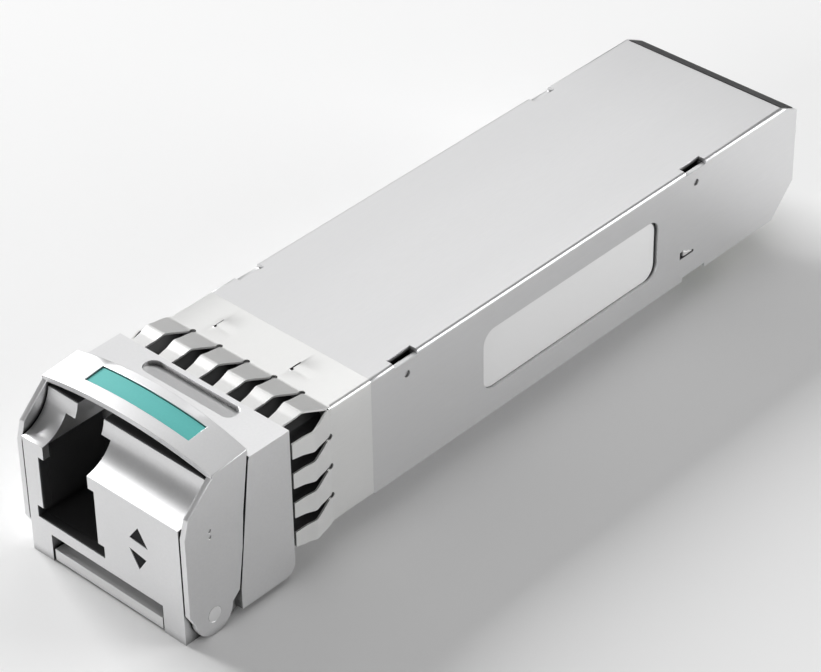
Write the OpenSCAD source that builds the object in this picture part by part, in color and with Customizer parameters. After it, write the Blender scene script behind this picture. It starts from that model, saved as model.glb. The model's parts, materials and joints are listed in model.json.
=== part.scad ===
// Single-fibre optical transceiver module for a small pluggable cage, with a hood-style release bail.
// X points to the right seen from the fibre port, Y from the port to the card edge, Z up.
// Sub-parts are drawn from the stop shoulder (y = 0) and the cover's top face (z = 0);
// placed() then moves them so that the origin is the bottom centre of the whole module.

/* [Body] */
// Width of the body behind the nose
body_w = 13.3; // [13.1:0.05:13.4]
// Height of the body, bottom face to cover top
body_h = 8.5; // [8.4:0.05:8.6]
// Length from the stop shoulder to the rear end
body_l = 47.5; // [46:0.5:50]
// Thickness of the cover's sheet
sheet_t = 0.3; // [0.25:0.05:0.3]
// Thickness of the cast side walls
wall_t = 0.7; // [0.6:0.05:0.75]
// Thickness of the cast floor
floor_t = 1; // [0.9:0.05:1.05]

/* [Nose] */
// Width over the nose and over the bail's arms
nose_w = 13.9; // [13.8:0.05:14]
// Length of the nose in front of the stop shoulder
nose_l = 8.4; // [8.2:0.1:8.6]
// Width of the front block between the bail's arms
front_w = 12.9; // [12.8:0.05:13]
// Height of the nose top above the cover
nose_rise = 0.58; // [0.5:0.02:0.6]
// Depth of the front feet below the cover top
foot_z = 10.3; // [10.2:0.05:10.4]
// Radius of the finger scoop across the front
scoop_r = 2.65; // [2.55:0.05:2.7]

/* [Fibre port] */
// Sideways place of the fibre axis
fibre_x = -2.85; // [-2.95:0.05:-2.75]
// Depth of the fibre axis below the cover top
fibre_z = 4.9; // [4.8:0.05:5]
// Radius of the ceramic sleeve's bore
ferrule_r = 0.626; // [0.626:0.001:0.64]
// Width of the port between its side rails
port_w = 4.7; // [4.6:0.05:4.8]

/* [Release bail] */
// Radius of the bail's stub pins
bail_pin_r = 0.5; // [0.45:0.01:0.5]
// Height of the hood's crown above the cover
crown_z = 1.95; // [1.85:0.05:2.05]
// Drop of the hood from its rear edge to its front edge
hood_drop = 0.24; // [0.2:0.02:0.3]
// Thickness of the hood plate
hood_t = 0.42; // [0.4:0.02:0.46]
// Thickness of each arm
arm_t = 0.4; // [0.35:0.05:0.4]

/* [Latch] */
// Distance from the stop shoulder to the latch shoulder
latch_y = 2.5; // [2.4:0.05:2.6]
// Height of the latch boss below the body
boss_h = 0.45; // [0.4:0.01:0.45]
// Radius of the rocker's pivot pin
rocker_pin_r = 0.4; // [0.35:0.01:0.42]
// Running clearance of each pin in its hole
pin_gap = 0.03; // [0.02:0.01:0.05]

/* [Spring collar] */
// Thickness of the collar's sheet
collar_t = 0.12; // [0.1:0.01:0.15]
// Distance between the fingers on the top
top_pitch = 2.25; // [2.15:0.05:2.3]
// Distance between the fingers on the sides
side_pitch = 2.15; // [2.05:0.05:2.2]
// Width of a finger at its root
finger_root_w = 1.98; // [1.9:0.02:2]
// Width of a finger at its tip
finger_tip_w = 1.06; // [0.9:0.02:1.2]
// Height that each finger bows out
finger_bow = 0.66; // [0.5:0.02:0.7]

/* [Circuit board] */
// Width of the board
board_w = 9.2; // [9.1:0.05:9.2]
// Thickness of the board
board_t = 1; // [0.9:0.05:1]
// Number of contacts on each face of the card edge
contact_count = 10; // [8:1:10]

/* [Hidden] */
$fn = 64;

eps = 0.02;
over = 0.1;
mid_y = (body_l - nose_l) / 2;

// Cast body
body_x = body_w / 2;
nose_x = nose_w / 2;
front_x = front_w / 2;
cast_x = body_x - sheet_t - eps;
cavity_x = cast_x - wall_t;
floor_z = -body_h + floor_t;
cast_front = 3.3;
cover_front = 7;
seat_roof = -1.3;
seat_gap = 0.01;
cavity_front = 1.9;
neck_x = 6;
neck_top = -0.6;
cast_top = -0.35;
open_bottom_y = 37.1;
rear_slope_y = 1.6;
rear_slope_z = 0.8;
rear_chamfer_y = 2.1;
rear_chamfer_z = 2.25;
rail_x = 4.3;
rail_y = [16, 36.9];
cast_inset = 0.2;
neck_end = cast_front + 1;
recess_roof_t = 0.35;
board_z = -body_h + 2.25;

// Nose outline
nose_bottom = -9.9;
nose_corner_r = 0.8;
under_hood_z = 0.42;
seam_top = [-3.28, 0.3];
seam_bottom = [-4.33, -8.4];
seam_gap = 0.12;
edge_chamfer = 0.1;
front_rear_y = -3;
under_hood_y = -3.2;
foot_rear = [-5, -4.2];
scoop_y = -8.75;
scoop_z = 0.75;
groove_x = 3.75;
groove_y = [-1.6, -0.35];
groove_depth = 0.35;
groove_shallow = 0.06;
arrow_depth = 0.25;
arrow_up = [[3.05, -3.5], [2.3, -4.55], [3.8, -4.7]];
arrow_down = [[2.2, -5.35], [3.6, -5.6], [2.95, -6.6]];

// Fibre port levels and half widths
port_end = 1;
port_bottom = -7.45;
rail_step_z = -6.6;
rail_step_x = 2.85;
shoulder_z = -2.8;
port_top = -0.5;
tab_x = 1.1;
tab_wide_x = 1.88;
tab_end = -4.2;
ledge_z = -1.85;
front_wall = 0.6;
catch_end = -3.4;

// Bail
pivot_y = -6.5;
pivot_z = -8.85;
lug_r = 1.45;
arm_in = nose_x - arm_t;
arm_rear = [[-3.85, -3], [-4.05, -5.5]];
arm_front = [[-nose_l, -8], [-nose_l, -2.35], [-8.05, -1.1]];
hood_y = [-6.1, -3.3];
hood_edge_z = 1.2;
arm_top = hood_edge_z - 0.2;
hood_rise = crown_z - hood_edge_z;
hood_r = (nose_x * nose_x + hood_rise * hood_rise) / (2 * hood_rise);
hood_angle = asin(hood_drop / (hood_y[1] - hood_y[0]));
hood_bow = 0.25;
hood_bow_r = (nose_x * nose_x + hood_bow * hood_bow) / (2 * hood_bow);
inlay_x = 4.25;
inlay_y = [-5.15, -3.7];
inlay_pocket = 0.26;
inlay_t = 0.15;
cam_r = 0.47;
cam_offset = 0.3;
cam_x = [4.05, 4.62];
mark_y = -6.47;
mark_z = [-2.75, -3.2];
mark_r = 0.11;
mark_depth = 0.1;

// Latch rocker
channel_x = 4.7;
channel_top = -8.3;
rocker_y = -2.5;
rocker_z = -9.1;
hub_r = 0.75;
plate_z = [-9.9, -9.35];
lip_y = -8.35;
lip_t = 0.55;
lip_z = -10.15;
plate_x = 4.55;
rocker_arm_x = 2.2;
rocker_arm_z = [-body_h, -body_h + 0.35];
rocker_web_z = [-8.95, -8.42];
rocker_arm_y = [-1.95, 5.2];
rocker_pin_x = nose_x - 0.6;
recess_x = 2.45;
recess_start = -2.2;
recess_step_y = 1.25;
recess_end = 5.9;
recess_low = -7.75;
recess_high = -7.2;
boss_l = 2.6;
boss_x = 1.3;
boss_flat = 0.6;
boss_tip_x = 0.3;
spring_t = 0.12;
spring_x = 1.2;
spring_y = [1.5, 2.2, 4.7, 5];
spring_lag = 0.05;

// Spring collar
collar_y = [3.5, 6.95];
finger_y = [0.25, 3.57];
slot_r = 0.2;
slot_y = collar_y[0] + 0.1;
finger_mid_w = 1.36;
finger_root_l = 0.3;
finger_waist = 0.3;
bottom_finger_x = body_x - 1.1;
bottom_strip_x = 4.4;
finger_mid = (finger_y[0] + finger_y[1]) / 2;
finger_chord = finger_y[1] - finger_y[0];
finger_arc_r = finger_chord * finger_chord / (8 * finger_bow) + finger_bow / 2;
lance_starts = [-3.95, 2.4];
lance_y = [4.6, 5.5];
lance_w = 0.12;

// Cover openings
window_y = [16.75, 33.35];
window_z = [-6.6, -2.1];
window_r = 1;
label_gap = 0.02;
label_rear_gap = 0.2;
label_t = 0.12;
notch_in = 6;
notch_low = -0.32;
notch_l = 2.03;
notch_starts = [8.95, 35.92];
notch_pocket = 1.4;
dimple_r = 0.24;
dimple_z = -1.26;
dimple_shift = 1.1;
dimple_depth = 0.15;
hook_y = [35.65, 37.05];
hook_z = [-6.6, -6.05];
hook_cut = 0.22;
edge_notch_y = [36, 38.3];
edge_notch_h = 0.3;
cover_low = -body_h + 0.05;
cover_skirt = 2;
bend_r = 0.25;

// Fibre sub-assembly
osa_x = fibre_x;
osa_z = -fibre_z;
barrel_r = 1.45;
barrel_y = [-2.5, 2.6];
flange_r = 1.92;
flange_y = [2.6, 3.2];
retainer_x = [eps - cavity_x, -0.2];
retainer_y = [cavity_front, 2.2];
retainer_z = [floor_z + 0.75, -2.3];
sleeve_r = 0.875;
sleeve_y = [-2.2, 0.88];
slit_w = 0.25;
stub_y = [0.9, 3.55];
stub_r = sleeve_r;
bosa_half = 1.9;
bosa_y = [3.2, 9.6];
can_header_r = 1.88;
can_cap_r = 1.4;
can_header_t = 0.8;
laser_cap_l = 1.6;
diode_y = 6.1;
diode_cap_l = 1.05;
beam_r = 0.95;
filter_half = 0.55;
filter_t = 0.2;
filter_y = diode_y - 0.3;
lead_r = 0.2;
lead_ring = 0.9;
lead_l = 1.5;
flex_t = 0.15;
flex_half = 1.7;
flex_gap = 0.7;
flex_bend = 0.5;
flex_lap = 2;
tab_reach = 1.3;
tab_start = 0.3;
clamp_y = [4.5, 7.1];

// Circuit board
board_y = [13, 44.3];
board_x = board_w / 2;
board_top = board_z + board_t;
contact_w = 0.5;
contact_l = 2.6;
contact_t = 0.04;
contact_pitch = 0.8;
contact_setback = 0.3;

// Chips: place of the middle, and size
laser_driver = [-1.4, 19.5, [4, 4, 0.9]];
limiting_amplifier = [2.6, 22.5, [3, 3, 0.9]];
microcontroller = [-0.6, 28.5, [5, 5, 0.9]];
memory = [1.5, 35, [2, 3, 0.8]];

// Rows of small parts: columns, rows, and size
capacitors = [[-4, 4], [25, 26.2, 27.4, 31.4, 32.6, 38, 39.2], [0.5, 1, 0.5]];
resistors = [[-3, -1.9, -0.8], [33, 34.2, 36.5, 37.7], [0.5, 1, 0.35]];
ferrites = [[-2.6, 3.2], [39.3], [0.8, 1.6, 0.8]];
pad_x = [-3.4, 0.6];
pad_y = [17.5, 21.5];

// Colours
casting = [0.72, 0.72, 0.73];
steel = [0.8, 0.8, 0.81];
spring_steel = [0.86, 0.86, 0.84];
teal = [0.3, 0.72, 0.7];
gold = [0.85, 0.68, 0.3];

module placed() {
    translate([0, -mid_y, foot_z]) children();
}

// A box from its low and high limits on each axis
module block(x, y, z) {
    translate([x[0], y[0], z[0]]) cube([x[1] - x[0], y[1] - y[0], z[1] - z[0]]);
}

// Extrudes an outline drawn in Y and Z along X
module along_x(x) {
    translate([x[0], 0, 0]) rotate([90, 0, 90]) linear_extrude(x[1] - x[0]) children();
}

// Extrudes an outline drawn in X and Z along Y
module along_y(y) {
    translate([0, y[1], 0]) rotate([90, 0, 0]) linear_extrude(y[1] - y[0]) children();
}

// A cylinder along X, centred on a line given by y and z
module rod_x(x, y, z, r) {
    translate([x[0], y, z]) rotate([0, 90, 0]) cylinder(h = x[1] - x[0], r = r);
}

// A cylinder along Y, centred on a line given by x and z
module rod_y(y, x, z, r) {
    translate([x, y[0], z]) rotate([-90, 0, 0]) cylinder(h = y[1] - y[0], r = r);
}

module both_sides() {
    children();
    mirror([1, 0, 0]) children();
}

module rounded_rect(u, v, r) {
    translate([u[0] + r, v[0]]) square([u[1] - u[0] - 2 * r, v[1] - v[0]]);
    translate([u[0], v[0] + r]) square([u[1] - u[0], v[1] - v[0] - 2 * r]);
    for (cu = [u[0] + r, u[1] - r], cv = [v[0] + r, v[1] - r]) {
        translate([cu, cv]) circle(r);
    }
}

// ---- Cast body ----

// Side outline of the body, drawn in by a given inset at the top, bottom and rear
module body_outline(y0, top, low, inset) {
    polygon([
        [y0, top],
        [body_l - rear_slope_y - inset, top],
        [body_l - inset, -rear_slope_z - inset],
        [body_l - inset, -body_h + rear_chamfer_z],
        [body_l - rear_chamfer_y, low],
        [y0, low]
    ]);
}

module nose_outline() {
    polygon([
        [0, nose_rise],
        [0, nose_bottom + nose_corner_r],
        [-nose_corner_r, nose_bottom + nose_corner_r],
        [-nose_corner_r, nose_bottom],
        [seam_bottom[0], nose_bottom],
        seam_bottom,
        seam_top,
        [seam_top[0] + edge_chamfer, nose_rise]
    ]);
    translate([-nose_corner_r, nose_bottom + nose_corner_r]) circle(nose_corner_r);
}

module front_outline() {
    polygon([
        [front_rear_y, nose_rise],
        [under_hood_y + edge_chamfer, nose_rise],
        [under_hood_y, under_hood_z],
        [-nose_l, under_hood_z],
        [-nose_l, -foot_z],
        [foot_rear[0], -foot_z],
        [foot_rear[1], nose_bottom],
        [front_rear_y, nose_bottom]
    ]);
}

// Rounded section under the spring collar, full depth only between its two bottom strips
module collar_seat() {
    seat_x = body_x - collar_t - seat_gap;
    seat_y = [cast_front, cover_front - eps];
    along_y(seat_y) rounded_rect([-seat_x, seat_x],
        [-body_h + collar_t + seat_gap, -collar_t - seat_gap], bend_r - collar_t);
    block([eps - bottom_strip_x, bottom_strip_x - eps], seat_y, [-body_h, -body_h / 2]);
}

module tray() {
    difference() {
        union() {
            along_x([-cast_x, cast_x]) body_outline(cover_front - 2 * eps, cast_top, -body_h, cast_inset);
            collar_seat();
        }
        block([-cavity_x, cavity_x], [cast_front - over, cover_front + over], [floor_z, seat_roof]);
        block([-cavity_x, cavity_x], [cover_front, body_l], [floor_z, over]);
        block([-cavity_x, cavity_x], [open_bottom_y, body_l], [-body_h - over, floor_z + over]);
        both_sides() for (y = notch_starts) {
            block([notch_in - over, cast_x + over], [y, y + notch_l], [-notch_pocket, 0]);
        }
    }
    both_sides() block([rail_x, cavity_x + over], rail_y, [floor_z - over, board_z]);
    block([-recess_x - wall_t, recess_x + wall_t], [cavity_front, recess_end + wall_t],
        [floor_z - over, recess_high + recess_roof_t]);
}

module neck() {
    difference() {
        block([-neck_x, neck_x], [-over, cast_front + over], [-body_h, neck_top]);
        block([-cavity_x, cavity_x], [cavity_front, neck_end], [floor_z, seat_roof]);
        both_sides() block([bottom_strip_x - eps, body_x], [0, neck_end],
            [-body_h - over, -body_h + collar_t + seat_gap]);
    }
}

module fibre_port() {
    front = -nose_l - over;
    translate([fibre_x, 0, 0]) {
        block([-rail_step_x, rail_step_x], [front, port_end], [port_bottom, rail_step_z]);
        block([-port_w / 2, port_w / 2], [front, port_end], [rail_step_z - eps, shoulder_z]);
        block([-tab_wide_x, tab_wide_x], [front, catch_end], [shoulder_z - eps, port_top]);
        block([-port_w / 2, port_w / 2], [front + front_wall, catch_end], [shoulder_z - eps, ledge_z]);
        block([-tab_x, tab_x], [front, tab_end], [port_top - eps, 1]);
    }
    rod_y([port_end - over, cavity_front + over], osa_x, osa_z, barrel_r + eps);
}

module arrow_marks() {
    along_y([-nose_l - over, -nose_l + arrow_depth]) {
        polygon(arrow_up);
        polygon(arrow_down);
    }
}

module latch_channel() {
    block([-channel_x, channel_x], [-nose_l - over, over], [-foot_z - over, channel_top]);
    block([-recess_x, recess_x], [recess_start, recess_step_y + over], [-foot_z, recess_low]);
    block([-recess_x, recess_x], [recess_step_y, recess_end], [-foot_z, recess_high]);
}

// A thumb groove, deepest along its rear wall
module nose_groove() {
    groove_r = (groove_y[1] - groove_y[0]) / 2;
    intersection() {
        translate([0, 0, nose_rise - groove_depth]) linear_extrude(1)
            rounded_rect([-groove_x, groove_x], groove_y, groove_r - eps);
        along_x([-nose_x, nose_x]) polygon([
            [groove_y[1] + over, nose_rise - groove_depth],
            [groove_y[0], nose_rise - groove_shallow],
            [groove_y[0] - over, nose_rise + 1],
            [groove_y[1] + over, nose_rise + 1]
        ]);
    }
}

module base_housing() {
    placed() color(casting) difference() {
        union() {
            along_x([-nose_x, nose_x]) nose_outline();
            along_x([-front_x, front_x]) front_outline();
            neck();
            tray();
        }
        rod_x([-front_x - over, front_x + over], scoop_y, scoop_z, scoop_r);
        fibre_port();
        arrow_marks();
        latch_channel();
        nose_groove();
        both_sides() {
            rod_x([channel_x - over, front_x + over], pivot_y, pivot_z, bail_pin_r + pin_gap);
            rod_x([channel_x - over, rocker_pin_x], rocker_y, rocker_z, rocker_pin_r);
        }
    }
}

// ---- Sheet-metal cover ----

module cover_section(half, top, r) {
    intersection() {
        rounded_rect([-half, half], [-body_h - cover_skirt, top], r);
        translate([-half, cover_low]) square([2 * half, top - cover_low]);
    }
}

module cover_side_cuts() {
    along_x([cast_x - over, body_x + over]) {
        rounded_rect(window_y, window_z, window_r);
        translate([hook_y[0], hook_z[0]]) square([hook_y[1] - hook_y[0], hook_cut]);
        translate([hook_y[0], hook_z[0]]) square([hook_cut, hook_z[1] - hook_z[0]]);
        translate([edge_notch_y[0], cover_low - over])
            square([edge_notch_y[1] - edge_notch_y[0], edge_notch_h + over]);
    }
    for (y = notch_starts) {
        block([notch_in, body_x + over], [y, y + notch_l], [notch_low, over]);
        rod_x([body_x - dimple_depth, body_x + over], y + dimple_shift, dimple_z, dimple_r);
    }
}

module top_cover() {
    placed() color(steel) difference() {
        intersection() {
            along_x([-body_x, body_x]) body_outline(cover_front, 0, cover_low, 0);
            along_y([cover_front, body_l]) cover_section(body_x, 0, bend_r);
        }
        intersection() {
            along_x([-body_x, body_x]) translate([0, -sheet_t])
                body_outline(cover_front - over, 0, -body_h - over, -over);
            along_y([cover_front - over, body_l + over])
                translate([0, -over]) cover_section(cast_x + eps, over - sheet_t, over);
        }
        both_sides() cover_side_cuts();
    }
}

module side_labels() {
    placed() color("white") both_sides() along_x([cast_x, cast_x + label_t])
        rounded_rect([window_y[0] + label_gap, window_y[1] - label_rear_gap],
            [window_z[0] + label_gap, window_z[1] - label_gap], window_r - label_gap);
}

// ---- Spring collar ----

// Plan of one finger, from its root down to its tip
module finger_plan() {
    polygon([
        [-finger_root_w / 2, finger_y[1] + over],
        [-finger_root_w / 2, finger_y[1] - finger_root_l],
        [-finger_mid_w / 2, finger_mid + finger_waist],
        [-finger_tip_w / 2, finger_y[0] - over],
        [finger_tip_w / 2, finger_y[0] - over],
        [finger_mid_w / 2, finger_mid + finger_waist],
        [finger_root_w / 2, finger_y[1] - finger_root_l],
        [finger_root_w / 2, finger_y[1] + over]
    ]);
}

module finger() {
    arc_z = finger_bow - finger_arc_r;
    intersection() {
        along_x([-finger_root_w / 2 - eps, finger_root_w / 2 + eps]) intersection() {
            translate([finger_mid, arc_z]) difference() {
                circle(finger_arc_r);
                circle(finger_arc_r - collar_t);
            }
            translate([finger_y[0] - over, -collar_t]) square([finger_chord + 2 * over, 1]);
        }
        translate([0, 0, -1]) linear_extrude(3) finger_plan();
    }
}

module collar_fingers() {
    for (i = [-2.5:2.5]) {
        translate([i * top_pitch, 0, 0]) finger();
    }
    both_sides() {
        for (i = [0:3]) {
            translate([body_x, 0, -body_h / 2 + (1.5 - i) * side_pitch]) rotate([0, 90, 0]) finger();
        }
        translate([bottom_finger_x, 0, -body_h]) rotate([0, 180, 0]) finger();
    }
}

module collar_band() {
    difference() {
        along_y(collar_y) difference() {
            rounded_rect([-body_x, body_x], [-body_h, 0], bend_r);
            rounded_rect([-body_x + collar_t, body_x - collar_t],
                [-body_h + collar_t, -collar_t], bend_r - collar_t);
            translate([-bottom_strip_x, -body_h - 1]) square([2 * bottom_strip_x, 2]);
        }
        for (i = [-3:3]) {
            translate([i * top_pitch, slot_y, -0.5]) cylinder(h = 1, r = slot_r);
        }
        both_sides() for (i = [-1:1]) {
            rod_x([body_x - 0.5, body_x + 1], slot_y, -body_h / 2 + i * side_pitch, slot_r);
        }
    }
}

module emi_collar() {
    placed() color(spring_steel) {
        difference() {
            union() {
                collar_band();
                collar_fingers();
            }
            for (x = lance_starts) block([x, x + lance_w], lance_y, [-1, 1]);
        }
    }
}

// ---- Release bail ----

module arm_outline() {
    polygon([
        [hood_y[1] - eps, arm_top],
        [seam_top[0] - seam_gap, seam_top[1]],
        arm_rear[0],
        arm_rear[1],
        [seam_bottom[0] - seam_gap, seam_bottom[1] + edge_chamfer],
        [pivot_y + lug_r, pivot_z],
        [pivot_y - lug_r, pivot_z],
        arm_front[0],
        arm_front[1],
        arm_front[2],
        [hood_y[0] + 2 * eps, arm_top - hood_drop]
    ]);
    translate([pivot_y, pivot_z]) circle(lug_r);
}

// Region between two arcs under the hood's crown
module hood_section(half, depth_from, depth_to) {
    intersection() {
        translate([0, crown_z - hood_r]) difference() {
            circle(hood_r - depth_from, $fn = 128);
            circle(hood_r - depth_to, $fn = 128);
        }
        translate([-half, 0]) square([2 * half, crown_z + 1]);
    }
}

// Tips the hood about its rear edge so that its front edge drops
module hood_tilt() {
    translate([0, hood_y[1], hood_edge_z]) rotate([hood_angle, 0, 0])
        translate([0, -hood_y[1], -hood_edge_z]) children();
}

module hood_plate() {
    hood_tilt() intersection() {
        along_y([hood_y[0], hood_y[1] + hood_bow + over]) hood_section(nose_x, 0, hood_t);
        translate([0, hood_y[1] + hood_bow - hood_bow_r, 0]) cylinder(h = 4, r = hood_bow_r, $fn = 256);
    }
}

module bail() {
    placed() color(casting) difference() {
        union() {
            hood_plate();
            both_sides() along_x([arm_in, nose_x]) arm_outline();
        }
        hood_tilt() along_y(inlay_y) hood_section(inlay_x, -1, inlay_pocket);
        both_sides() {
            rod_x([arm_in - over, nose_x + over], pivot_y, pivot_z, bail_pin_r);
            for (z = mark_z) {
                rod_x([nose_x - mark_depth, nose_x + over], mark_y, z, mark_r);
            }
        }
    }
}

module bail_colour_strip() {
    placed() color(teal) hood_tilt() along_y([inlay_y[0] + eps, inlay_y[1] - eps])
        hood_section(inlay_x - eps, inlay_pocket - inlay_t, inlay_pocket);
}

module bail_pivot_pins() {
    placed() color(steel) both_sides() {
        rod_x([cam_x[1], nose_x], pivot_y, pivot_z, bail_pin_r);
        rod_x(cam_x, pivot_y - cam_offset, pivot_z, cam_r);
        rod_x(cam_x, pivot_y, pivot_z, cam_r);
    }
}

// ---- Latch ----

module latch_boss() {
    intersection() {
        along_x([-boss_x, boss_x]) polygon([
            [latch_y, -body_h + over],
            [latch_y, -body_h - boss_h],
            [latch_y + boss_flat, -body_h - boss_h],
            [latch_y + boss_l, -body_h],
            [latch_y + boss_l, -body_h + over]
        ]);
        translate([0, 0, -body_h - 1]) linear_extrude(2)
            polygon([
                [-boss_x, latch_y],
                [boss_x, latch_y],
                [boss_tip_x, latch_y + boss_l],
                [-boss_tip_x, latch_y + boss_l]
            ]);
    }
}

module latch_rocker() {
    placed() color(steel) difference() {
        union() {
            block([-plate_x, plate_x], [lip_y, rocker_y], plate_z);
            block([-plate_x, plate_x], [lip_y, lip_y + lip_t], [lip_z, plate_z[1]]);
            rod_x([-plate_x, plate_x], rocker_y, rocker_z, hub_r);
            block([-rocker_arm_x, rocker_arm_x], [rocker_y, 0], rocker_web_z);
            block([-rocker_arm_x, rocker_arm_x], rocker_arm_y, rocker_arm_z);
            latch_boss();
        }
        rod_x([-plate_x - over, plate_x + over], rocker_y, rocker_z, rocker_pin_r + pin_gap);
    }
}

module latch_pivot_pin() {
    placed() color(steel) rod_x([-rocker_pin_x, rocker_pin_x], rocker_y, rocker_z, rocker_pin_r);
}

module latch_return_spring() {
    top = recess_high - eps;
    low = rocker_arm_z[1] + eps;
    placed() color(spring_steel) along_x([-spring_x, spring_x]) polygon([
        [spring_y[0], top],
        [spring_y[1], top],
        [spring_y[2], low + spring_t],
        [spring_y[3], low + spring_t],
        [spring_y[3], low],
        [spring_y[2] - spring_lag, low],
        [spring_y[1] - spring_lag, top - spring_t],
        [spring_y[0], top - spring_t]
    ]);
}

// ---- Fibre sub-assembly ----

module receptacle_barrel() {
    placed() color(steel) difference() {
        union() {
            rod_y(barrel_y, osa_x, osa_z, barrel_r);
            rod_y(flange_y, osa_x, osa_z, flange_r);
        }
        rod_y([barrel_y[0] - over, flange_y[1] + over], osa_x, osa_z, sleeve_r + eps);
    }
}

module split_sleeve() {
    placed() color("ivory") difference() {
        rod_y(sleeve_y, osa_x, osa_z, sleeve_r);
        rod_y([sleeve_y[0] - over, sleeve_y[1] + over], osa_x, osa_z, ferrule_r);
        translate([osa_x, 0, osa_z])
            block([-slit_w / 2, slit_w / 2], [sleeve_y[0] - over, sleeve_y[1] + over], [0, 1]);
    }
}

module fibre_stub() {
    placed() color("white") rod_y(stub_y, osa_x, osa_z, stub_r);
}

module receptacle_gasket() {
    placed() color([0.25, 0.25, 0.26]) difference() {
        rod_y([retainer_y[1] + eps, flange_y[0] - eps], osa_x, osa_z, flange_r);
        rod_y([retainer_y[1], flange_y[0]], osa_x, osa_z, barrel_r + eps);
    }
}

module osa_retaining_plate() {
    placed() color(spring_steel) difference() {
        block(retainer_x, retainer_y, retainer_z);
        rod_y([retainer_y[0] - over, retainer_y[1] + over], osa_x, osa_z, barrel_r + eps);
    }
}

module bosa_body() {
    placed() color(steel) translate([osa_x, 0, osa_z]) difference() {
        block([-bosa_half, bosa_half], bosa_y, [-bosa_half, bosa_half]);
        rod_y([bosa_y[0] - over, stub_y[1] + eps], 0, 0, sleeve_r + eps);
        rod_y([bosa_y[0], bosa_y[1]], 0, 0, beam_r);
        rod_y([bosa_y[1] - laser_cap_l - eps, bosa_y[1] + over], 0, 0, can_cap_r + eps);
        rod_x([0, bosa_half], diode_y, 0, beam_r);
        rod_x([bosa_half - diode_cap_l - eps, bosa_half + over], diode_y, 0, can_cap_r + eps);
    }
}

module wavelength_filter() {
    placed() color([0.7, 0.85, 0.9, 0.5]) translate([osa_x, filter_y, osa_z]) rotate([0, 0, 45])
        block([-filter_half, filter_half], [-filter_t / 2, filter_t / 2], [-filter_half, filter_half]);
}

module can(header, cap_l) {
    cylinder(h = header, r = can_header_r);
    translate([0, 0, -cap_l]) cylinder(h = cap_l, r = can_cap_r);
}

module leads(length, r) {
    for (a = [45:90:315]) {
        rotate([0, 0, a]) translate([lead_ring, 0, 0]) cylinder(h = length, r = r);
    }
}

// Places a can or its leads behind the laser seat, its axis along Y
module at_laser(shift) {
    translate([osa_x, bosa_y[1] + eps + shift, osa_z]) rotate([-90, 0, 0]) children();
}

// Places a can or its leads beside the photodiode seat, its axis along X
module at_photodiode(shift) {
    translate([osa_x + bosa_half + eps + shift, diode_y, osa_z]) rotate([0, 90, 0]) children();
}

module laser_can() {
    placed() color("goldenrod") at_laser(0) can(can_header_t, laser_cap_l - eps);
}

module laser_leads() {
    placed() color(gold) at_laser(can_header_t) leads(lead_l, lead_r);
}

module photodiode_can() {
    placed() color("goldenrod") at_photodiode(0) can(can_header_t, diode_cap_l - eps);
}

module photodiode_leads() {
    placed() color(gold) at_photodiode(can_header_t) leads(lead_l, lead_r);
}

module laser_flex() {
    tab_y = bosa_y[1] + can_header_t + flex_gap;
    low = board_z - eps;
    placed() color("darkorange") difference() {
        translate([osa_x, 0, 0]) {
            block([-flex_half, flex_half], [tab_y, tab_y + flex_t],
                [low - flex_t + flex_bend, osa_z + flex_half]);
            along_x([-flex_half, flex_half]) intersection() {
                translate([tab_y + flex_bend, low - flex_t + flex_bend]) difference() {
                    circle(flex_bend);
                    circle(flex_bend - flex_t);
                }
                translate([tab_y, low - flex_t]) square(flex_bend);
            }
            block([-flex_half, flex_half], [tab_y + flex_bend, board_y[0] + flex_lap],
                [low - flex_t, low]);
        }
        at_laser(0) leads(2 * lead_l, lead_r + eps);
    }
}

module photodiode_flex() {
    tab_x0 = osa_x + bosa_half + can_header_t + flex_gap;
    tab_xs = [tab_x0, tab_x0 + flex_t];
    low = board_top + eps;
    placed() color("darkorange") difference() {
        union() {
            block(tab_xs, [diode_y - flex_half, diode_y + flex_half],
                [osa_z - flex_half, osa_z + flex_half]);
            block(tab_xs, [diode_y, board_y[0] + flex_lap], [low, osa_z + flex_half]);
            block([tab_x0, tab_x0 + tab_reach], [board_y[0] + tab_start, board_y[0] + flex_lap],
                [low, low + flex_t]);
        }
        at_photodiode(0) leads(2 * lead_l, lead_r + eps);
    }
}

module osa_clamp() {
    leg_x = cavity_x - eps;
    top = osa_z + bosa_half + eps;
    placed() color(spring_steel) {
        block([-leg_x, leg_x], clamp_y, [top, top + sheet_t]);
        both_sides() block([leg_x - sheet_t, leg_x], clamp_y, [floor_z, top + over]);
    }
}

// ---- Circuit board ----

module circuit_board() {
    placed() color("darkgreen") block([-board_x, board_x], board_y, [board_z, board_top]);
}

module edge_contacts() {
    start = -(contact_count - 1) / 2;
    rear = board_y[1] - contact_setback;
    placed() color(gold) for (i = [0:contact_count - 1], z = [board_top, board_z - contact_t]) {
        x = (start + i) * contact_pitch;
        block([x - contact_w / 2, x + contact_w / 2], [rear - contact_l, rear], [z, z + contact_t]);
    }
}

// A part of a given size standing on the board's top face
module on_board(x, y, size) {
    translate([x, y, board_top])
        block([-size[0] / 2, size[0] / 2], [-size[1] / 2, size[1] / 2], [0, size[2]]);
}

module chip(part) {
    placed() color([0.12, 0.12, 0.13]) on_board(part[0], part[1], part[2]);
}

module laser_driver_chip() {
    chip(laser_driver);
}

module limiting_amplifier_chip() {
    chip(limiting_amplifier);
}

module microcontroller_chip() {
    chip(microcontroller);
}

module memory_chip() {
    chip(memory);
}

module part_rows(group) {
    placed() for (x = group[0], y = group[1]) {
        on_board(x, y, group[2]);
    }
}

module chip_capacitors() {
    color("tan") part_rows(capacitors);
}

module chip_resistors() {
    color([0.15, 0.15, 0.15]) part_rows(resistors);
}

module ferrite_beads() {
    color("dimgray") part_rows(ferrites);
}

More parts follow.
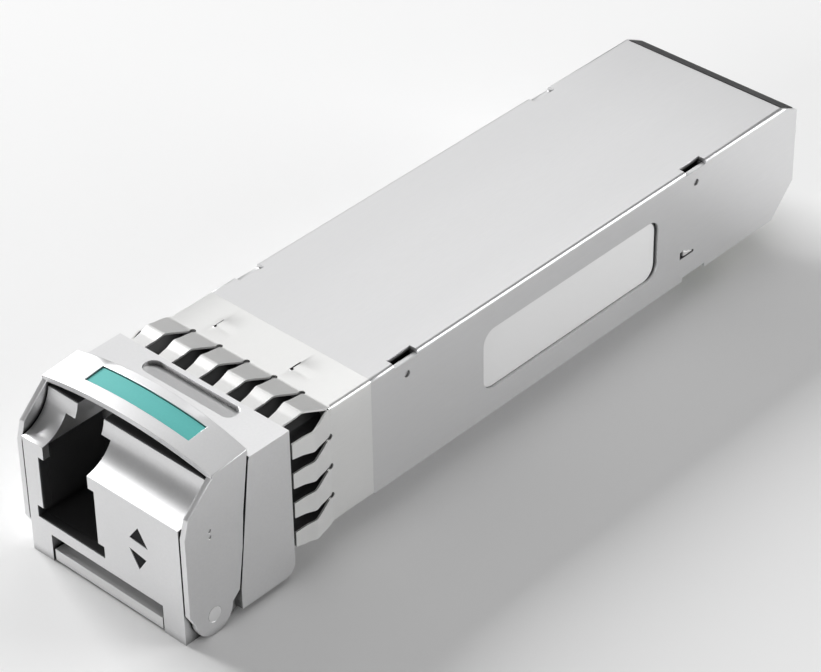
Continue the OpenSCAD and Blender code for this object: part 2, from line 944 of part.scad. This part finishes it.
module thermal_pad() {
    placed() color("lightsteelblue") block(pad_x, pad_y, [floor_z, board_z]);
}

base_housing();
top_cover();
emi_collar();
side_labels();
bail();
bail_colour_strip();
bail_pivot_pins();
latch_rocker();
latch_pivot_pin();
latch_return_spring();
receptacle_barrel();
split_sleeve();
fibre_stub();
receptacle_gasket();
osa_retaining_plate();
bosa_body();
wavelength_filter();
laser_can();
laser_leads();
laser_flex();
photodiode_can();
photodiode_leads();
photodiode_flex();
osa_clamp();
circuit_board();
edge_contacts();
laser_driver_chip();
limiting_amplifier_chip();
microcontroller_chip();
memory_chip();
chip_capacitors();
chip_resistors();
ferrite_beads();
thermal_pad();
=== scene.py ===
"""Looks of the single-fibre optical transceiver module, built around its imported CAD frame."""
import bpy
import bmesh
import json
import math
from mathutils import Matrix, Vector


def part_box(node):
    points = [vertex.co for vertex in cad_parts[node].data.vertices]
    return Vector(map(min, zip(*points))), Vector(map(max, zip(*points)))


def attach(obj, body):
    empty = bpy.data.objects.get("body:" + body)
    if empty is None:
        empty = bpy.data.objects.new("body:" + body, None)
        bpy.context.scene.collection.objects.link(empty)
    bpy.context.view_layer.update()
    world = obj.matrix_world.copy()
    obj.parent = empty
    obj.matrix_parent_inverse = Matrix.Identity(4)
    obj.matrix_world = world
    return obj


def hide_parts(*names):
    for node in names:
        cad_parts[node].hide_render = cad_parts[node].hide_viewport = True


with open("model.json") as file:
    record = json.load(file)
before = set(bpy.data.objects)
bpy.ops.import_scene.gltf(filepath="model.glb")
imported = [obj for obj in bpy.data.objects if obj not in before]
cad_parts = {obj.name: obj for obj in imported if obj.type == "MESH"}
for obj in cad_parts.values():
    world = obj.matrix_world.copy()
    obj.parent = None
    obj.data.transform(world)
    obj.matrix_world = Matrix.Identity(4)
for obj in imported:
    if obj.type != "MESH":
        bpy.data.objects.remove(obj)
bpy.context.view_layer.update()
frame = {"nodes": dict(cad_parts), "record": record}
nodes = frame["nodes"]

# ---- Units and datum: sizes below are millimetres from the stop shoulder and the cover's top ----
MM = 0.001
BODY_L = 47.5
cover_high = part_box("top_cover")[1]
ORIGIN = Vector((0, cover_high.y - BODY_L * MM, cover_high.z))


def at(x, y, z):
    """A point given in millimetres, as a place in the row frame."""
    return ORIGIN + Vector((x, y, z)) * MM


# ---- Material nodes ----
# Colour factor of the painted shade in gaps and recesses
CREVICE_SHADE = 0.06
CLOUD_MM = 6
RUB_MM = 0.06
RUB = 0.35
# Reach and range of the painted shade in gaps and recesses
SHADE_REACH_MM = 1.2
SHADE_RANGE = 0.42


class Nodes:
    """Short names for adding and linking shader nodes."""

    def __init__(self, material):
        material.use_nodes = True
        self.tree = material.node_tree
        self.shader = self.tree.nodes["Principled BSDF"]
        self.coords = self.tree.nodes.new("ShaderNodeTexCoord").outputs["Object"]

    def link(self, a, b):
        self.tree.links.new(a, b)

    def add(self, kind, inputs=None, **settings):
        node = self.tree.nodes.new(kind)
        for key, value in settings.items():
            setattr(node, key, value)
        for key, value in (inputs or {}).items():
            if isinstance(value, bpy.types.NodeSocket):
                self.link(value, node.inputs[key])
            else:
                node.inputs[key].default_value = value
        return node

    def noise(self, size_mm, detail=4, stretch=(1, 1, 1), rough=0.55):
        scaled = self.add("ShaderNodeVectorMath", {0: self.coords, 1: stretch}, operation="MULTIPLY")
        noise = self.add("ShaderNodeTexNoise", {
            "Vector": scaled.outputs[0], "Scale": 1 / (size_mm * MM), "Detail": detail, "Roughness": rough})
        return noise.outputs["Fac"]

    def spread(self, value, low, high, start=0.3, end=0.7):
        node = self.add("ShaderNodeMapRange", {
            "Value": value, "From Min": start, "From Max": end, "To Min": low, "To Max": high})
        return node.outputs["Result"]

    def mix(self, factor, a, b):
        node = self.add("ShaderNodeMix", {"Factor": factor}, data_type="RGBA")
        for socket, value in ((node.inputs[6], a), (node.inputs[7], b)):
            if isinstance(value, bpy.types.NodeSocket):
                self.link(value, socket)
            else:
                socket.default_value = (*value, 1)
        return node.outputs[2]


def shade(colour, factor):
    return tuple(min(1, c * factor) for c in colour)


def edge_mask(n, reach_mm):
    """1 along outer edges, where the surface has been rubbed, and 0 on flats."""
    eased = n.add("ShaderNodeBevel", {"Radius": reach_mm * MM}, samples=4)
    facing = n.add("ShaderNodeNewGeometry").outputs["Normal"]
    alike = n.add("ShaderNodeVectorMath", {0: eased.outputs[0], 1: facing}, operation="DOT_PRODUCT")
    return n.spread(alike.outputs["Value"], 1, 0, 0.86, 0.99)


def painted_shade_mask(n, reach_mm, start=0.2, end=0.62):
    """0 in narrow gaps and recesses, where shade is painted, and 1 in the open."""
    open_sky = n.add("ShaderNodeAmbientOcclusion", {"Distance": reach_mm * MM}, samples=8)
    return n.spread(open_sky.outputs["AO"], 0, 1, start, end)


def metal(name, colour, metallic, rough, grain_mm, grain=0.03, bump=0.03, streak=(1, 1, 1), shade_start=0.2):
    """A satin metal: fine grain, cloudy tone, uneven roughness, rubbed edges and painted shade in crevices.
    """
    material = bpy.data.materials.new(name)
    n = Nodes(material)
    fine = n.noise(grain_mm, 5, streak)
    cloud = n.noise(CLOUD_MM, 3, streak)
    toned = n.mix(n.spread(fine, 0, 1), shade(colour, 1 - grain), shade(colour, 1 + grain))
    clouded = n.mix(n.spread(cloud, 0, 0.5), toned, shade(colour, 1 - grain))
    rubbed = n.mix(n.spread(edge_mask(n, RUB_MM), 0, RUB, 0, 1), clouded, shade(colour, 1.2))
    # Painted shade: the colour turns near black in gaps and recesses
    shaded_gaps = n.mix(painted_shade_mask(n, SHADE_REACH_MM, shade_start, shade_start + SHADE_RANGE), shade(colour, CREVICE_SHADE), rubbed)
    n.link(shaded_gaps, n.shader.inputs["Base Color"])
    n.link(n.spread(cloud, rough - 0.02, rough + 0.02), n.shader.inputs["Roughness"])
    relief = n.add("ShaderNodeBump", {"Strength": bump, "Distance": 0.02 * MM, "Height": fine})
    n.link(relief.outputs["Normal"], n.shader.inputs["Normal"])
    n.shader.inputs["Metallic"].default_value = metallic
    return material


def polymer(name, colour, rough, grain_mm, grain=0.06, bump=0.1, coat=0.0, shine=0.5):
    """A moulded or printed non-metal with a faint orange-peel skin and painted shade in its corners."""
    material = bpy.data.materials.new(name)
    n = Nodes(material)
    fine = n.noise(grain_mm, 4)
    cloud = n.noise(2.5, 3)
    toned = n.mix(n.spread(fine, 0, 1), shade(colour, 1 - grain), shade(colour, 1 + grain))
    clouded = n.mix(n.spread(cloud, 0, 0.4), toned, shade(colour, 1 - grain))
    # Painted shade: the colour is halved in corners and recesses
    n.link(n.mix(painted_shade_mask(n, 0.5), shade(colour, 0.5), clouded), n.shader.inputs["Base Color"])
    n.link(n.spread(cloud, rough - 0.05, rough + 0.05), n.shader.inputs["Roughness"])
    relief = n.add("ShaderNodeBump", {"Strength": bump, "Distance": 0.02 * MM, "Height": fine})
    n.link(relief.outputs["Normal"], n.shader.inputs["Normal"])
    n.shader.inputs["Coat Weight"].default_value = coat
    n.shader.inputs["Specular IOR Level"].default_value = shine
    return material


def film_with_painted_reflection(name, dark, light, rough):
    """A label film with a plain tone that runs from dark at its front to light at its rear and top: a
    painted reflection.
    """
    material = bpy.data.materials.new(name)
    n = Nodes(material)
    low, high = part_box("side_labels")
    place = n.add("ShaderNodeSeparateXYZ", {0: n.coords})
    # Painted reflection: the film grows lighter towards its rear and its top
    along = n.spread(place.outputs["Y"], 0, 0.75, low.y, high.y)
    lifted = n.spread(place.outputs["Z"], 0, 0.25, low.z, high.z)
    tone = n.add("ShaderNodeMath", {0: along, 1: lifted}, operation="ADD").outputs[0]
    fine = n.noise(0.25, 4)
    base = n.mix(tone, dark, light)
    n.link(n.mix(n.spread(fine, 0, 0.05), base, shade(light, 0.9)), n.shader.inputs["Base Color"])
    n.link(n.spread(fine, rough - 0.03, rough + 0.03), n.shader.inputs["Roughness"])
    relief = n.add("ShaderNodeBump", {"Strength": 0.03, "Distance": 0.01 * MM, "Height": fine})
    n.link(relief.outputs["Normal"], n.shader.inputs["Normal"])
    return material


LENGTHWISE = (1, 0.1, 1)
SHORT_STREAK = (1, 0.2, 1)
MATERIALS = {
    # The zinc's last argument sets where its painted shade in crevices starts
    "cast_zinc": metal("cast_zinc", (0.82, 0.82, 0.825), 0.96, 0.38, 0.16, 0.02, 0.05, shade_start=0.28),
    "cover_steel": metal("cover_steel", (0.76, 0.76, 0.765), 0.8, 0.38, 0.12, 0.012, 0.02, LENGTHWISE),
    "spring_steel": metal("spring_steel", (0.87, 0.87, 0.86), 0.6, 0.34, 0.1, 0.012, 0.015, SHORT_STREAK),
    "latch_steel": metal("latch_steel", (0.82, 0.82, 0.82), 0.35, 0.38, 0.1, 0.03, 0.03, (0.2, 1, 1)),
    "gold_plate": metal("gold_plate", (0.78, 0.56, 0.2), 0.95, 0.25, 0.06, 0.03, 0.02),
    # The label film carries a painted reflection
    "label_film": film_with_painted_reflection("label_film", (0.9, 0.9, 0.9), (1, 1, 1), 0.4),
    "teal_plastic": polymer("teal_plastic", (0.11, 0.55, 0.52), 0.45, 0.12, 0.03, 0.06),
    "ceramic": polymer("ceramic", (0.8, 0.78, 0.72), 0.2, 0.08, 0.02, 0.01, 0.3),
    "conductive_rubber": polymer("conductive_rubber", (0.03, 0.03, 0.031), 0.6, 0.08, 0.15, 0.15, shine=0.3),
    "filter_glass": polymer("filter_glass", (0.25, 0.35, 0.4), 0.08, 0.2, 0.02, 0.0),
    "flex_film": polymer("flex_film", (0.5, 0.22, 0.04), 0.35, 0.1, 0.05, 0.03),
    "board_laminate": polymer("board_laminate", (0.01, 0.12, 0.045), 0.45, 0.12, 0.15, 0.1, 0.3),
    "chip_resin": polymer("chip_resin", (0.012, 0.012, 0.013), 0.6, 0.06, 0.25, 0.2, shine=0.15),
    "capacitor_ceramic": polymer("capacitor_ceramic", (0.32, 0.2, 0.11), 0.4, 0.08, 0.1, 0.05),
    "gap_filler": polymer("gap_filler", (0.35, 0.37, 0.42), 0.8, 0.1, 0.08, 0.15),
}

node_slot = {entry["node"]: entry["material_slot"] for entry in frame["record"]["subparts"]}
for name, piece in nodes.items():
    piece.data.materials.clear()
    piece.data.materials.append(MATERIALS[node_slot[name]])


# ---- Small radii on every piece ----
def round_edges(piece, width_mm, angle=30):
    """Rounds the sharp edges a little, and shades large flat faces flat."""
    bevel = piece.modifiers.new("bevel", "BEVEL")
    bevel.width = width_mm * MM
    bevel.segments = 2
    bevel.limit_method = "ANGLE"
    bevel.angle_limit = math.radians(angle)
    bevel.face_strength_mode = "FSTR_ALL"
    normals = piece.modifiers.new("normals", "WEIGHTED_NORMAL")
    normals.weight = 100
    normals.keep_sharp = False
    normals.use_face_influence = True
    for face in piece.data.polygons:
        face.use_smooth = True


def ease_cad(piece, width_mm):
    """Merges a CAD solid's flat facets before its edges are rounded."""
    weld = piece.modifiers.new("weld", "WELD")
    weld.merge_threshold = 0.002 * MM
    flat = piece.modifiers.new("flat", "DECIMATE")
    flat.decimate_type = "DISSOLVE"
    flat.angle_limit = math.radians(0.5)
    round_edges(piece, width_mm)


EDGE = {"base_housing": 0.07, "top_cover": 0.05, "bail": 0.04, "latch_rocker": 0.08}
for name, piece in nodes.items():
    ease_cad(piece, EDGE.get(name, 0.03))
# The two tiny marks on each arm would otherwise limit the rounding of the whole bail
nodes["bail"].modifiers["bevel"].use_clamp_overlap = False


# ---- Mesh pieces ----
def crisp_shading(mesh, angle=35):
    """Smooth faces that meet at a crease wherever they turn by more than an angle."""
    work = bmesh.new()
    work.from_mesh(mesh)
    for face in work.faces:
        face.smooth = True
    for edge in work.edges:
        edge.smooth = len(edge.link_faces) == 2 and edge.calc_face_angle(math.pi) < math.radians(angle)
    work.to_mesh(mesh)
    work.free()


def new_piece(name, vertices, faces, slot, body="housing", edge_mm=0.03):
    """A closed mesh that rides on a body and takes its finish from a material slot."""
    mesh = bpy.data.meshes.new(name)
    mesh.from_pydata(vertices, [], faces)
    work = bmesh.new()
    work.from_mesh(mesh)
    bmesh.ops.remove_doubles(work, verts=work.verts, dist=0.0005 * MM)
    bmesh.ops.recalc_face_normals(work, faces=work.faces)
    work.to_mesh(mesh)
    work.free()
    mesh.materials.append(MATERIALS[slot])
    piece = bpy.data.objects.new(name, mesh)
    bpy.context.scene.collection.objects.link(piece)
    if edge_mm:
        round_edges(piece, edge_mm)
    else:
        crisp_shading(mesh)
    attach(piece, body)
    return piece


def loft(rings):
    """Vertices and faces of a closed solid through rings that have the same number of points."""
    count = len(rings[0])
    vertices = [point for ring in rings for point in ring]
    faces = [tuple(range(count)), tuple(range(len(vertices) - count, len(vertices)))]
    for i in range(len(rings) - 1):
        for j in range(count):
            k = (j + 1) % count
            faces.append((i * count + j, i * count + k, (i + 1) * count + k, (i + 1) * count + j))
    return vertices, faces


def joined(parts):
    """Vertices and faces of several solids as one list of each."""
    vertices, faces = [], []
    for part_vertices, part_faces in parts:
        faces += [tuple(index + len(vertices) for index in face) for face in part_faces]
        vertices += part_vertices
    return vertices, faces


def box(x, y, z):
    """A block from its low and high limits on each axis."""
    return loft([[at(x[0], v, z[0]), at(x[1], v, z[0]), at(x[1], v, z[1]), at(x[0], v, z[1])] for v in y])


def thick_grid(columns, rows, place, kept=lambda i, j: True, closed=False):
    """A sheet of cells with a front and a back skin, walled wherever a cell has no neighbour."""
    cells = {(i, j) for i in range(columns - 1) for j in range(rows - 1) if kept(i, j)}
    vertices = [place(i, j, side) for side in (0, 1) for i in range(columns) for j in range(rows)]
    back = columns * rows
    faces = []
    for i, j in cells:
        a, b, c, d = i * rows + j, (i + 1) * rows + j, (i + 1) * rows + j + 1, i * rows + j + 1
        faces.append((a, b, c, d))
        faces.append((back + d, back + c, back + b, back + a))
        for (near_i, near_j), (u, v) in (((i, j - 1), (a, b)), ((i + 1, j), (b, c)),
                                         ((i, j + 1), (c, d)), ((i - 1, j), (d, a))):
            if (near_i % (columns - 1) if closed else near_i, near_j) not in cells:
                faces.append((u, v, back + v, back + u))
    return vertices, faces


def smooth_step(t):
    t = max(0, min(1, t))
    return t * t * (3 - 2 * t)


# ---- Spring collar ----
BODY_X = cover_high.x / MM
BODY_H = 8.5
BAND_Y = (3.5, 6.995)
SHEET = 0.12
BEND = 0.25
RELIEF_R = 0.2
FINGER_TIP_Y = 0.12
FINGER_FOLD = (1.62, 0.64)
FINGER_KNEE = (0.95, 0.45)
FINGER_TIP_H = 0.36
FOLD_REACH = 0.14
WAIST, TIP = 0.72, 0.53
STRIP_X = 4.4
BOTTOM_FINGER_IN = 1.1
TOP_PITCH, SIDE_PITCH = 2.25, 2.15
LANCE_STARTS = (-3.95, 2.4)
LANCE_W, LANCE_DOT, LANCE_L = 0.1, 0.22, 1.5
LANCE_Y = (4.6, 4.8, 5.5)
LANCE_RISE = 0.05


def finger_path():
    """Heights of a finger's outer face: a straight ramp, a tight fold, and two flats to the tip."""
    corners = [(BAND_Y[0], 0), FINGER_FOLD, FINGER_KNEE, (FINGER_TIP_Y, FINGER_TIP_H)]
    path = [(BAND_Y[0] + 0.15, -0.002)]
    for a, b, c in zip([path[0]] + corners[:-1], corners[:-1], corners[1:]):
        for step in range(5):
            t = step / 4
            start = [b[k] + (a[k] - b[k]) * FOLD_REACH / math.dist(a, b) for k in (0, 1)]
            end = [b[k] + (c[k] - b[k]) * FOLD_REACH / math.dist(b, c) for k in (0, 1)]
            weights = ((1 - t) ** 2, 2 * t * (1 - t), t * t)
            trio = (start, b, end)
            path.append(tuple(sum(w * point[k] for w, point in zip(weights, trio)) for k in (0, 1)))
        if b == corners[0]:
            for step in range(1, 8):
                path.append(tuple(end[k] + (FINGER_FOLD[k] - end[k]) * step / 9 for k in (0, 1)))
    path.append(corners[-1])
    return path


def finger_half(y, pitch):
    """Half width of a finger: full at the root, narrower past the fold, notched by the relief hole."""
    root = pitch / 2 - 0.13
    half = root + (WAIST - root) * smooth_step((BAND_Y[0] - 0.1 - y) / 1.7)
    half += (TIP - WAIST) * smooth_step((FINGER_FOLD[0] + 0.3 - y) / 1.9)
    from_hole = abs(y - BAND_Y[0] - 0.03)
    if from_hole < RELIEF_R:
        half = min(half, pitch / 2 - math.sqrt(RELIEF_R ** 2 - from_hole ** 2))
    return half


def finger(frame_at, pitch):
    """One finger, lofted along its path; frame_at turns (across, y, height) into a place."""
    path = finger_path()
    rings = []
    for n, (y, h) in enumerate(path):
        before, after = path[max(0, n - 1)], path[min(len(path) - 1, n + 1)]
        length = math.dist(before, after)
        lean_y, lean_h = -(after[1] - before[1]) / length, (after[0] - before[0]) / length
        if lean_h < 0:
            lean_y, lean_h = -lean_y, -lean_h
        half = finger_half(y, pitch)
        low_y, low_h = y - lean_y * SHEET, h - lean_h * SHEET
        rings.append([frame_at(-half, y, h), frame_at(half, y, h),
                      frame_at(half, low_y, low_h), frame_at(-half, low_y, low_h)])
    return loft(rings)


def band_path():
    """Points and normals round the body's section, from one bottom strip over the top to the other."""
    points = []

    def arc(cx, cz, start):
        for step in range(7):
            turn = math.radians(start - 15 * step)
            nx, nz = math.cos(turn), math.sin(turn)
            points.append((cx + BEND * nx, cz + BEND * nz, nx, nz))

    def line(a, b, normal, breaks):
        for t in sorted(set([0, 1] + breaks)):
            points.append((a[0] + (b[0] - a[0]) * t, a[1] + (b[1] - a[1]) * t, *normal))

    def cuts(length, middle, centres):
        places = []
        for centre in centres:
            for step in range(-4, 5):
                places.append((middle + centre + RELIEF_R * math.sin(step * math.pi / 8)) / length)
        return places

    low, side = -BODY_H, BODY_X - BEND
    height = BODY_H - 2 * BEND
    side_cuts = cuts(height, height / 2, [n * SIDE_PITCH for n in (-1, 0, 1)])
    reaches = (0, LANCE_W, LANCE_DOT, LANCE_L)
    lance = [(side + x + reach) / (2 * side) for x in LANCE_STARTS for reach in reaches]
    top_cuts = cuts(2 * side, side, [n * TOP_PITCH for n in (-2, -1, 0, 1, 2)]) + lance
    line((-STRIP_X, low), (-side, low), (0, -1), [])
    arc(-side, low + BEND, -90)
    line((-BODY_X, low + BEND), (-BODY_X, -BEND), (-1, 0), side_cuts)
    arc(-side, -BEND, 180)
    line((-side, 0), (side, 0), (0, 1), top_cuts)
    arc(side, -BEND, 90)
    line((BODY_X, -BEND), (BODY_X, low + BEND), (1, 0), side_cuts)
    arc(side, low + BEND, 0)
    line((side, low), (STRIP_X, low), (0, -1), [])
    return points


def band():
    """The collar's plain band, with a round relief at the end of each slot and two lances on top."""
    path = band_path()
    rows = [BAND_Y[0], LANCE_Y[0] - 0.1, *LANCE_Y, LANCE_Y[-1] + 0.1, BAND_Y[1]]

    def front_edge(x, z, nx, nz):
        across, pitch, count = (x, TOP_PITCH, 2) if nz > 0.99 else (z + BODY_H / 2, SIDE_PITCH, 1)
        if abs(nx) < 0.99 and nz < 0.99:
            return BAND_Y[0]
        nearest = max(-count, min(count, round(across / pitch))) * pitch
        away = abs(across - nearest)
        return BAND_Y[0] + (math.sqrt(RELIEF_R ** 2 - away ** 2) if away < RELIEF_R else 0)

    def place(i, j, side):
        x, z, nx, nz = path[i]
        y = front_edge(*path[i]) if j == 0 else rows[j]
        if nz > 0.99 and LANCE_Y[0] <= y <= LANCE_Y[-1]:
            for start in LANCE_STARTS:
                if start < x < start + LANCE_L:
                    z += LANCE_RISE * (start + LANCE_L - x) / LANCE_L
        return at(x - nx * SHEET * side, y, z - nz * SHEET * side)

    def kept(i, j):
        (x0, _, _, nz), x1 = path[i], path[i + 1][0]
        reach = [(x0 + x1) / 2 - start for start in LANCE_STARTS]
        width = {2: LANCE_DOT, 3: LANCE_W}.get(j, 0)
        return not (nz > 0.99 and any(0 < r < width for r in reach))

    return thick_grid(len(path), len(rows), place, kept)


def collar():
    """The band with its six top fingers, four on each side and one at each bottom corner."""
    pieces = [band()]
    for n in range(6):
        x = (n - 2.5) * TOP_PITCH
        pieces.append(finger(lambda across, y, h, x=x: at(x + across, y, h), TOP_PITCH))
    for side in (-1, 1):
        for n in range(4):
            z = -BODY_H / 2 + (1.5 - n) * SIDE_PITCH
            pieces.append(finger(lambda across, y, h, z=z, side=side:
                                 at(side * (BODY_X + h), y, z + across), SIDE_PITCH))
        pieces.append(finger(lambda across, y, h, side=side:
                             at(side * (BODY_X - BOTTOM_FINGER_IN) + across, y, -BODY_H - h), SIDE_PITCH))
    piece = new_piece("collar_spring_fingers", *joined(pieces), "spring_steel", edge_mm=0)
    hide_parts("emi_collar")


def neck_shade_sheet():
    """A thin dark sheet round the casting's neck: painted shade, seen between the spring fingers."""
    half, low, high, skin = 6.0, -8.36, -0.6, 0.1
    neck_y = (0.02, 3.28)
    corners = [(-half, low), (-half, high), (half, high), (half, low)]
    wide, top = half + skin, high + skin
    outer = [(-wide, low), (-wide, top), (wide, top), (wide, low)]
    section = corners + outer[::-1]
    rings = [[at(x, y, z) for x, z in section] for y in neck_y]
    new_piece("neck_shade_sheet", *loft(rings), "conductive_rubber", edge_mm=0.04)


# ---- Fibre port liner: painted shade inside the port ----
PORT_X, PORT_Z = -2.85, -4.9
PORT_END = 1.0
SHOULDER_Z, LEDGE_Z = -2.82, -1.87
LIP_Y = (-8.34, -7.77)
CATCH_Y = (-7.76, -3.42)
REAR_Y = (-3.41, PORT_END - 0.09)
NEARLY_ZERO = 1e-6


def liner_ring(y, top):
    """The liner's U-shaped section at one depth, with the undercut for the plug's rails."""
    wall, rail, step, low, skin = 2.34, 2.84, -6.61, -7.44, 0.06
    outer = [(-wall, top), (-wall, step), (-rail, step), (-rail, low)]
    inner = [(-wall + skin, top), (-wall + skin, step - skin),
             (-rail + skin, step - skin), (-rail + skin, low + skin)]
    outer += [(-x, z) for x, z in reversed(outer)]
    inner += [(-x, z) for x, z in reversed(inner)]
    return [at(PORT_X + x, y, z) for x, z in outer + inner[::-1]]


def liner_back(low, high, left, right, hole_r):
    """The liner's rear wall, round the barrel's opening."""
    turns = 48

    def place(i, j, side):
        turn = 2 * math.pi * (i % turns) / turns
        x, z = math.cos(turn), math.sin(turn)
        reach = hole_r
        if j:
            to_side = (right if x > 0 else left) / max(abs(x), NEARLY_ZERO)
            to_level = (high if z > 0 else low) / max(abs(z), NEARLY_ZERO)
            reach = min(to_side, to_level)
        return at(PORT_X + x * reach, PORT_END - 0.02 - 0.06 * side, PORT_Z + z * reach)

    return thick_grid(turns + 1, 2, place, closed=True)


def port_shade_liner():
    """A thin dark lining of the port that paints its shade: three lengths of channel and a rear wall."""
    stages = ((LIP_Y, SHOULDER_Z), (CATCH_Y, LEDGE_Z), (REAR_Y, SHOULDER_Z))
    parts = [loft([liner_ring(y, top) for y in ends]) for ends, top in stages]
    parts.append(liner_back(2.53, 2.07, 2.83, 2.83, 1.48))
    new_piece("port_shade_liner", *joined(parts), "conductive_rubber", edge_mm=0.02)


# ---- Arrowheads on the front face ----
ARROWS = (((3.05, -3.5), (2.3, -4.55), (3.8, -4.7)), ((2.2, -5.35), (3.6, -5.6), (2.95, -6.6)))
FRONT_Y = -8.4
FILL_DEPTHS = (0.06, 0.245)
FILL_SCALE = 0.96


def arrow_shade_fill():
    """A dark fill that partly fills the two cast arrowheads: painted shade in their recesses."""
    parts = []
    for corners in ARROWS:
        middle = [sum(c[k] for c in corners) / 3 for k in (0, 1)]
        inset = [[middle[k] + (c[k] - middle[k]) * FILL_SCALE for k in (0, 1)] for c in corners]
        parts.append(loft([[at(x, FRONT_Y + depth, z) for x, z in inset] for depth in FILL_DEPTHS]))
    new_piece("arrow_shade_fill", *joined(parts), "chip_resin", edge_mm=0.01)


def hood_shade_pads():
    """Two thin dark pads on the front block's top: painted shade under the bail's hood."""
    spans = ((-6.3, -3.98), (-1.72, 6.3))
    pad_y, pad_z = (-6.06, -4.3), (0.42, 0.5)
    pads = [box(x, pad_y, pad_z) for x in spans]
    new_piece("hood_shade_pads", *joined(pads), "conductive_rubber", edge_mm=0.02)


def rear_shade_strip():
    """A dark strip on the sloped rear edge of the cover: painted shade on the slope."""
    slope_l, slope_h, margin, skin = 1.6, 0.8, 0.12, 0.05
    lean = math.hypot(slope_l, slope_h)
    half = BODY_X - BEND - 0.05
    rings = []
    for along in (margin, lean - margin):
        y, z = BODY_L - slope_l + slope_l * along / lean, -slope_h * along / lean
        lift_y, lift_z = skin * slope_h / lean, skin * slope_l / lean
        rings.append([at(-half, y, z), at(half, y, z),
                      at(half, y + lift_y, z + lift_z), at(-half, y + lift_y, z + lift_z)])
    new_piece("rear_shade_strip", *loft(rings), "conductive_rubber", edge_mm=0.02)


def hook_tabs():
    """A small tab in the corner of each side's hook cut, pressed outwards."""
    y0, z0, length, height = 35.9, -6.36, 0.95, 0.42
    sunk, raised, slope = 0.04, 0.09, 0.06
    tabs = []
    for side in (-1, 1):
        rings = []
        for x, inset in ((BODY_X - sunk, 0), (BODY_X + raised, slope)):
            corners = [(y0, z0), (y0 + length - inset, z0), (y0, z0 + height - inset)]
            rings.append([at(side * x, y, z) for y, z in corners])
        tabs.append(loft(rings))
    new_piece("hook_tabs", *joined(tabs), "spring_steel", edge_mm=0.02)


collar()
neck_shade_sheet()
rear_shade_strip()
hook_tabs()
port_shade_liner()
arrow_shade_fill()
hood_shade_pads()


# ---- Studio ----
def floor():
    """A plain pale floor, wider than any view of the module."""
    mesh = bpy.data.meshes.new("floor")
    half = 3.0
    corners = [(-half, -half, 0), (half, -half, 0), (half, half, 0), (-half, half, 0)]
    mesh.from_pydata(corners, [], [(0, 1, 2, 3)])
    piece = bpy.data.objects.new("floor", mesh)
    bpy.context.scene.collection.objects.link(piece)
    material = bpy.data.materials.new("floor")
    material.use_nodes = True
    shader = material.node_tree.nodes["Principled BSDF"]
    shader.inputs["Base Color"].default_value = (0.93, 0.93, 0.93, 1)
    shader.inputs["Roughness"].default_value = 0.9
    mesh.materials.append(material)


def area_light(name, place, target, size, power):
    light = bpy.data.lights.new(name, "AREA")
    light.size = size
    light.energy = power
    lamp = bpy.data.objects.new(name, light)
    lamp.location = place
    lamp.rotation_euler = (Vector(target) - Vector(place)).to_track_quat("-Z", "Y").to_euler()
    bpy.context.scene.collection.objects.link(lamp)


def studio():
    """Five soft lights and a dim even surround."""
    floor()
    world = bpy.data.worlds.new("studio")
    bpy.context.scene.world = world
    world.use_nodes = True
    world.node_tree.nodes["Background"].inputs["Color"].default_value = (1, 1, 1, 1)
    world.node_tree.nodes["Background"].inputs["Strength"].default_value = 0.1
    centre = (0, 0, 0.005)
    area_light("left", (-0.6, 0, 0.35), centre, 0.35, 5.4)
    area_light("top", (0, 0.05, 0.6), centre, 0.4, 0.3)
    area_light("front", (0.05, -0.65, 0.2), centre, 0.3, 1.0)
    area_light("rear_left", (-0.35, 0.47, 0.52), centre, 0.35, 0.55)
    area_light("side", (0.2, 0.18, 0.08), centre, 0.15, 0.34)
    bpy.context.scene.view_settings.view_transform = "Standard"


def camera():
    """Three-quarter view from the front right, with a small roll."""
    azimuth, elevation, roll = (math.radians(a) for a in (43.38, 36.43, -1.02))
    back = Vector((math.sin(azimuth) * math.cos(elevation),
                   -math.cos(azimuth) * math.cos(elevation), math.sin(elevation)))
    right = Vector((math.cos(azimuth), math.sin(azimuth), 0))
    up = back.cross(right)
    turned_right = right * math.cos(roll) + up * math.sin(roll)
    turned_up = up * math.cos(roll) - right * math.sin(roll)
    data = bpy.data.cameras.new("camera")
    data.lens = 138.56
    data.clip_start = 0.005
    eye = bpy.data.objects.new("camera", data)
    turn = Matrix((turned_right, turned_up, back)).transposed().to_4x4()
    eye.matrix_world = Matrix.Translation((0.10796, -0.11638, 0.12048)) @ turn
    bpy.context.scene.collection.objects.link(eye)
    bpy.context.scene.camera = eye


studio()
camera()
